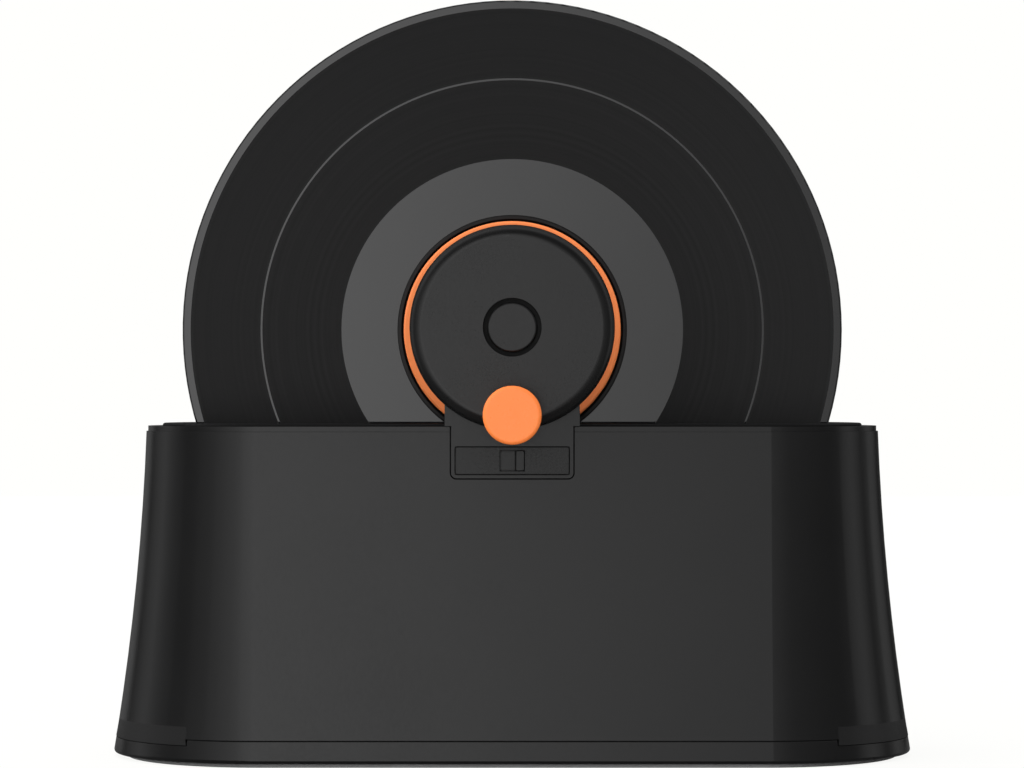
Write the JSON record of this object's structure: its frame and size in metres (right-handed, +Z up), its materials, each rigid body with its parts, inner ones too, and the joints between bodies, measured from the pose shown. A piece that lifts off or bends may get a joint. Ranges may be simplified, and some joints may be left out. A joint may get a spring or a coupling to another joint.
{
  "type": "record cleaning machine",
  "caption": "Hand-cranked record washer: flared oval basin with an upright record clamped between label guards on an axle with a crank disc.",
  "frame": {"origin": "on the table plane, under the middle of the record and the centre of the oval base", "axes": "+X along the body to the right seen from the crank side, +Y from the crank side to the back, +Z up"},
  "size_m": [0.3634, 0.1787, 0.3447],
  "materials": {
    "shell_plastic": "satin black",
    "tank_plastic": "matte black",
    "crank_plastic": "satin black",
    "guard_plastic": "satin black",
    "grey_rubber": "matte grey",
    "orange_rubber": "satin orange",
    "orange_plastic": "gloss orange",
    "vinyl": "gloss black",
    "label_paper": "matte paper",
    "bearing_plastic": "satin natural",
    "bristle": "soft white",
    "steel": "brushed"
  },
  "bodies": {
    "base_unit": {"foot_ring": "grey_rubber", "base_tray": "shell_plastic", "base_screws": "steel", "outer_shell": "shell_plastic", "water_tank": "tank_plastic", "brush_holder_front": "tank_plastic", "brush_holder_rear": "tank_plastic", "brush_front": "bristle", "brush_rear": "bristle"},
    "carrier": {"cradle_front": "shell_plastic", "cradle_rear": "shell_plastic", "lock_cover_front": "shell_plastic", "lock_cover_rear": "shell_plastic", "bearing_front": "bearing_plastic", "bearing_rear": "bearing_plastic"},
    "lock_front": {"lock_slide_front": "shell_plastic"},
    "lock_rear": {"lock_slide_rear": "shell_plastic"},
    "rotor": {"spindle": "steel", "front_sleeve": "guard_plastic", "label_guard_front": "guard_plastic", "guard_ring_front": "orange_rubber", "seal_front": "orange_rubber", "guard_screws_front": "steel", "vinyl_record": "vinyl", "record_labels": "label_paper", "crank_disc": "crank_plastic", "hub_screw": "steel", "knob_pin": "steel", "button_spring": "steel"},
    "knob": {"crank_knob": "orange_plastic"},
    "button": {"release_button": "crank_plastic", "release_rod": "steel"},
    "rear_clamp": {"label_guard_rear": "guard_plastic", "guard_ring_rear": "orange_rubber", "seal_rear": "orange_rubber", "guard_screws_rear": "steel", "rear_sleeve": "guard_plastic", "rear_knob": "crank_plastic", "rear_knob_screw": "steel"}
  },
  "joints": [
    {"name": "carrier_lift", "type": "slide", "parent": "base_unit", "child": "carrier", "axis": [0, 0, 1], "range_m": [0, 0.125]},
    {"name": "crank_turn", "type": "hinge", "parent": "carrier", "child": "rotor", "pos_m": [0, 0, 0.1939], "axis": [0, 1, 0], "continuous": true},
    {"name": "knob_turn", "type": "hinge", "parent": "rotor", "child": "knob", "pos_m": [0, -0.095, 0.1557], "axis": [0, 1, 0], "continuous": true},
    {"name": "button_press", "type": "slide", "parent": "rotor", "child": "button", "axis": [0, 1, 0], "range_m": [0, 0.0025], "stiffness_N_per_m": 400, "springref_m": -0.002, "deforming": ["button_spring"]},
    {"name": "clamp_pull", "type": "slide", "parent": "rotor", "child": "rear_clamp", "axis": [0, 1, 0], "range_m": [0, 0.02]},
    {"name": "lock_front_slide", "type": "slide", "parent": "carrier", "child": "lock_front", "axis": [-1, 0, 0], "range_m": [0, 0.0069]},
    {"name": "lock_rear_slide", "type": "slide", "parent": "carrier", "child": "lock_rear", "axis": [1, 0, 0], "range_m": [0, 0.0069]}
  ]
}
